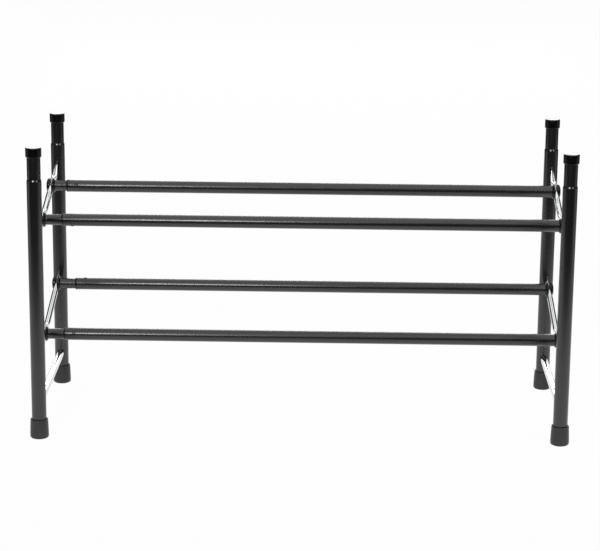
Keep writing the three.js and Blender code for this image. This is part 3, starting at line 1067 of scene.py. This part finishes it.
class StudioSizes(bpy.types.PropertyGroup):
    """The studio's camera, floor and sky"""

    camera_place: bpy.props.FloatVectorProperty(
        name="Camera place", description="Where the camera stands", default=(0.03187, -2.7535, 0.91224),
        subtype="XYZ", unit="LENGTH",
    )
    camera_turns: bpy.props.FloatVectorProperty(
        name="Camera turns", description="How far the camera looks down, looks left and leans left",
        default=(0.2562, 0.0125, 0.0098), unit="ROTATION",
    )
    camera_reach: length("Camera reach", "How far the camera sees", 50000)
    focal_pixels: bpy.props.FloatProperty(
        name="Focal length", description="Focal length in pixels of the picture", default=2130.0
    )
    floor_size: length("Floor size", "Side of the floor", 12000)
    white: colour("Sweep white", "The floor's white sweep", "#f4f4f4")
    grey: colour("Floor grey", "The floor beyond the sweep", "#303030")
    sweep_front: span("Sweep front", "Where it comes up ahead of the rack", -0.85, -0.15, unit="LENGTH")
    sweep_rear: span("Sweep rear", "Where it dims behind the rack", 0.15, 0.6, unit="LENGTH")
    rear_share: share("Rear share", "How white the sweep still is behind the rack", 0.72)
    sweep_sides: span("Sweep sides", "Where it fades at either side", 0.65, 0.95, unit="LENGTH")
    side_loss: share("Side loss", "How much of the sweep is lost at the sides", 0.5)
    patch_place: length("Patch place", "How far back the sides' dark patches lie", 1600)
    patch_edge: span("Patch edge", "Where a dark patch fades, from its middle", 0.7, 1.1, unit="LENGTH")
    shadow_share: share("Shadow share", "How much of the sweep's own light and shade the camera sees", 0.05)
    mirror_share: share("Mirror share", "How much of the sweep is mirrored as even white", 0.6)
    # The sky's spans are parts of a direction, along Y, X and Z
    sky_front: span("Sky front", "Where the low sky turns white, from ahead to beside the rack", -0.9, -0.5)
    front_share: share("Front share", "How white the sky is ahead of the rack", 0.03)
    sky_sides: span("Sky sides", "Where the low sky turns dark towards the sides", 0.28, 0.4)
    side_share: share("Side share", "How white the low sky is at the sides", 0.05)
    sky_top: span("Sky top", "Where the sky turns white overhead", 0.42, 0.6)


class RACK_OT_stage(bpy.types.Operator):
    """Makes the floor, the lamps, the world and the camera"""

    bl_idname = "shoe_rack.stage"
    bl_label = "Studio"

    def execute(self, context):
        studio = context.scene.rack_studio
        self.camera(context, studio)
        self.floor(studio)
        self.world(context, studio)
        self.lamps()
        context.scene.view_settings.view_transform = "Standard"
        return {"FINISHED"}

    def camera(self, context, studio):
        """Sets the camera where the picture was taken."""
        data = bpy.data.cameras.new("camera")
        data.lens = studio.focal_pixels / PICTURE_WIDTH * data.sensor_width
        data.clip_end = studio.camera_reach
        made = bpy.data.objects.new("camera", data)
        context.scene.collection.objects.link(made)
        down, left, lean = studio.camera_turns
        look = Matrix.Rotation(left, 4, "Z") @ Matrix.Rotation(math.pi / 2 - down, 4, "X")
        made.matrix_world = Matrix.Translation(studio.camera_place) @ look @ Matrix.Rotation(lean, 4, "Z")
        context.scene.camera = made

    def floor(self, studio):
        """A floor with a white sweep, which the camera sees as white with the rack's faint shadow."""
        mesh = bmesh.new()
        bmesh.ops.create_grid(mesh, x_segments=1, y_segments=1, size=studio.floor_size / 2)
        material = bpy.data.materials.new("White studio floor")
        material.use_nodes = True
        tree = material.node_tree
        tree.nodes.clear()
        sweep = self.sweep(tree, studio)
        tint = add(tree, "ShaderNodeMix", {
            "Factor": sweep,
            "A": studio.grey,
            "B": studio.white,
        }, data_type="RGBA")
        lit = add(tree, "ShaderNodeBsdfDiffuse", {"Color": tint})
        glow = add(tree, "ShaderNodeEmission", {"Color": WHITE, "Strength": 1.0})
        # The camera sees white with a trace of the rack's shadow, and metal mirrors the white sweep
        ray = add(tree, "ShaderNodeLightPath")
        shaded = add(tree, "ShaderNodeMath", {
            0: sweep,
            1: -studio.shadow_share,
            2: 1.0,
        }, operation="MULTIPLY_ADD")
        seen = add(tree, "ShaderNodeMath", {0: ray.outputs["Is Camera Ray"], 1: shaded}, operation="MULTIPLY")
        mirrored = add(tree, "ShaderNodeMath", {
            0: ray.outputs["Is Glossy Ray"],
            1: ray.outputs["Is Transmission Ray"],
        }, operation="MAXIMUM")
        even = add(tree, "ShaderNodeMath", {0: sweep, 1: studio.mirror_share}, operation="MULTIPLY")
        glowing = add(tree, "ShaderNodeMath", {0: mirrored, 1: even, 2: seen}, operation="MULTIPLY_ADD")
        mixed = add(tree, "ShaderNodeMixShader", {0: glowing, 1: lit, 2: glow})
        add(tree, "ShaderNodeOutputMaterial", {"Surface": mixed})
        piece("floor", mesh, material)

    def sweep(self, tree, studio):
        """How white the floor is: 1 under the rack, fading in front, dimmer behind and at the sides.

        It is lost altogether in two patches beside the backdrop.
        """
        place = add(tree, "ShaderNodeTexCoord")
        axes = add(tree, "ShaderNodeSeparateXYZ", {"Vector": place.outputs["Object"]})
        x, y = axes.outputs["X"], axes.outputs["Y"]
        sideways = add(tree, "ShaderNodeMath", {0: x}, operation="ABSOLUTE")
        past_patch = add(tree, "ShaderNodeMath", {0: y, 1: studio.patch_place}, operation="SUBTRACT")
        from_patch = add(tree, "ShaderNodeMath", {0: past_patch}, operation="ABSOLUTE")
        beside, loss, front, rear = (
            add(tree, "ShaderNodeMapRange", {
                "Value": value,
                "From Min": edge[0],
                "From Max": edge[1],
                "To Min": first,
                "To Max": last,
            }, interpolation_type="SMOOTHSTEP")
            for value, edge, first, last in (
                (sideways, studio.sweep_sides, 0, 1),
                (from_patch, studio.patch_edge, 1, studio.side_loss),
                (y, studio.sweep_front, 0, 1),
                (y, studio.sweep_rear, 1, studio.rear_share),
            )
        )
        lost = add(tree, "ShaderNodeMath", {0: beside, 1: loss}, operation="MULTIPLY")
        across = add(tree, "ShaderNodeMath", {0: 1.0, 1: lost}, operation="SUBTRACT")
        along = add(tree, "ShaderNodeMath", {0: front, 1: rear}, operation="MULTIPLY")
        return add(tree, "ShaderNodeMath", {0: across, 1: along}, operation="MULTIPLY")

    def world(self, context, studio):
        """White overhead and behind the rack, dark ahead and low at its sides, plain white to the camera."""
        world = bpy.data.worlds.new("Studio")
        world.use_nodes = True
        tree = world.node_tree
        tree.nodes.clear()
        place = add(tree, "ShaderNodeTexCoord")
        axes = add(tree, "ShaderNodeSeparateXYZ", {"Vector": place.outputs["Generated"]})
        sideways = add(tree, "ShaderNodeMath", {0: axes.outputs["X"]}, operation="ABSOLUTE")
        behind, inside, above = (
            add(tree, "ShaderNodeMapRange", {
                "Value": value,
                "From Min": edge[0],
                "From Max": edge[1],
                "To Min": first,
                "To Max": last,
            }, interpolation_type="SMOOTHSTEP")
            for value, edge, first, last in (
                (axes.outputs["Y"], studio.sky_front, studio.front_share, 1),
                (sideways, studio.sky_sides, 1, studio.side_share),
                (axes.outputs["Z"], studio.sky_top, 0, 1),
            )
        )
        low = add(tree, "ShaderNodeMath", {0: behind, 1: inside}, operation="MULTIPLY")
        sky = add(tree, "ShaderNodeMath", {0: low, 1: above}, operation="MAXIMUM")
        ray = add(tree, "ShaderNodeLightPath")
        plain = add(tree, "ShaderNodeMath", {
            0: ray.outputs["Is Camera Ray"],
            1: ray.outputs["Is Transmission Ray"],
        }, operation="MAXIMUM")
        shown = add(tree, "ShaderNodeMath", {0: sky, 1: plain}, operation="MAXIMUM")
        glow = add(tree, "ShaderNodeBackground", {"Color": WHITE, "Strength": shown})
        add(tree, "ShaderNodeOutputWorld", {"Surface": glow})
        context.scene.world = world

    def lamps(self):
        """A strong softbox in front to the left, a small one to the right, and a broad one behind."""
        for name, place, width, height, power in LAMPS:
            data = bpy.data.lights.new(name, "AREA")
            data.shape = "RECTANGLE"
            data.size = width
            data.size_y = height
            data.energy = power
            made = bpy.data.objects.new(name, data)
            bpy.context.scene.collection.objects.link(made)
            made.visible_camera = False
            facing = (Vector(place) - LAMP_AIM).to_track_quat("Z", "Y").to_matrix().to_4x4()
            made.matrix_world = Matrix.Translation(place) @ facing


OPERATORS = (
    RACK_OT_stage,
    RACK_OT_posts,
    RACK_OT_rails,
    RACK_OT_caps,
    RACK_OT_feet,
    RACK_OT_tubes,
    RACK_OT_bushes,
    RACK_OT_fittings,
)

GROUPS = {
    "rack_posts": PostSizes,
    "rack_rails": RailSizes,
    "rack_tubes": TubeSizes,
    "rack_fittings": FittingSizes,
    "rack_finishes": Finishes,
    "rack_studio": StudioSizes,
}


class RACK_PT_panel(bpy.types.Panel):
    """Lists the rack's sizes, colours and operators"""

    bl_label = "Shoe Rack"
    bl_idname = "RACK_PT_panel"
    bl_space_type = "VIEW_3D"
    bl_region_type = "UI"
    bl_category = "Shoe Rack"

    def draw(self, context):
        for name, group in GROUPS.items():
            column = self.layout.column(align=True)
            for key in group.__annotations__:
                column.prop(getattr(context.scene, name), key)
        for operator in OPERATORS:
            self.layout.operator(operator.bl_idname)


def register():
    """Registers the classes and hangs the property groups on the scene."""
    for made in (*GROUPS.values(), *OPERATORS, RACK_PT_panel):
        bpy.utils.register_class(made)
    for name, group in GROUPS.items():
        setattr(bpy.types.Scene, name, bpy.props.PointerProperty(type=group))


def unregister():
    """Takes the property groups and the classes away again."""
    for name in GROUPS:
        delattr(bpy.types.Scene, name)
    for made in (RACK_PT_panel, *reversed(OPERATORS), *reversed(GROUPS.values())):
        bpy.utils.unregister_class(made)


def main():
    """Makes the whole rack and its studio."""
    register()
    bpy.ops.shoe_rack.stage()
    bpy.ops.shoe_rack.posts()
    bpy.ops.shoe_rack.rails()
    bpy.ops.shoe_rack.caps()
    bpy.ops.shoe_rack.feet()
    bpy.ops.shoe_rack.tubes()
    bpy.ops.shoe_rack.bushes()
    bpy.ops.shoe_rack.fittings()


if __name__ == "__main__":
    main()
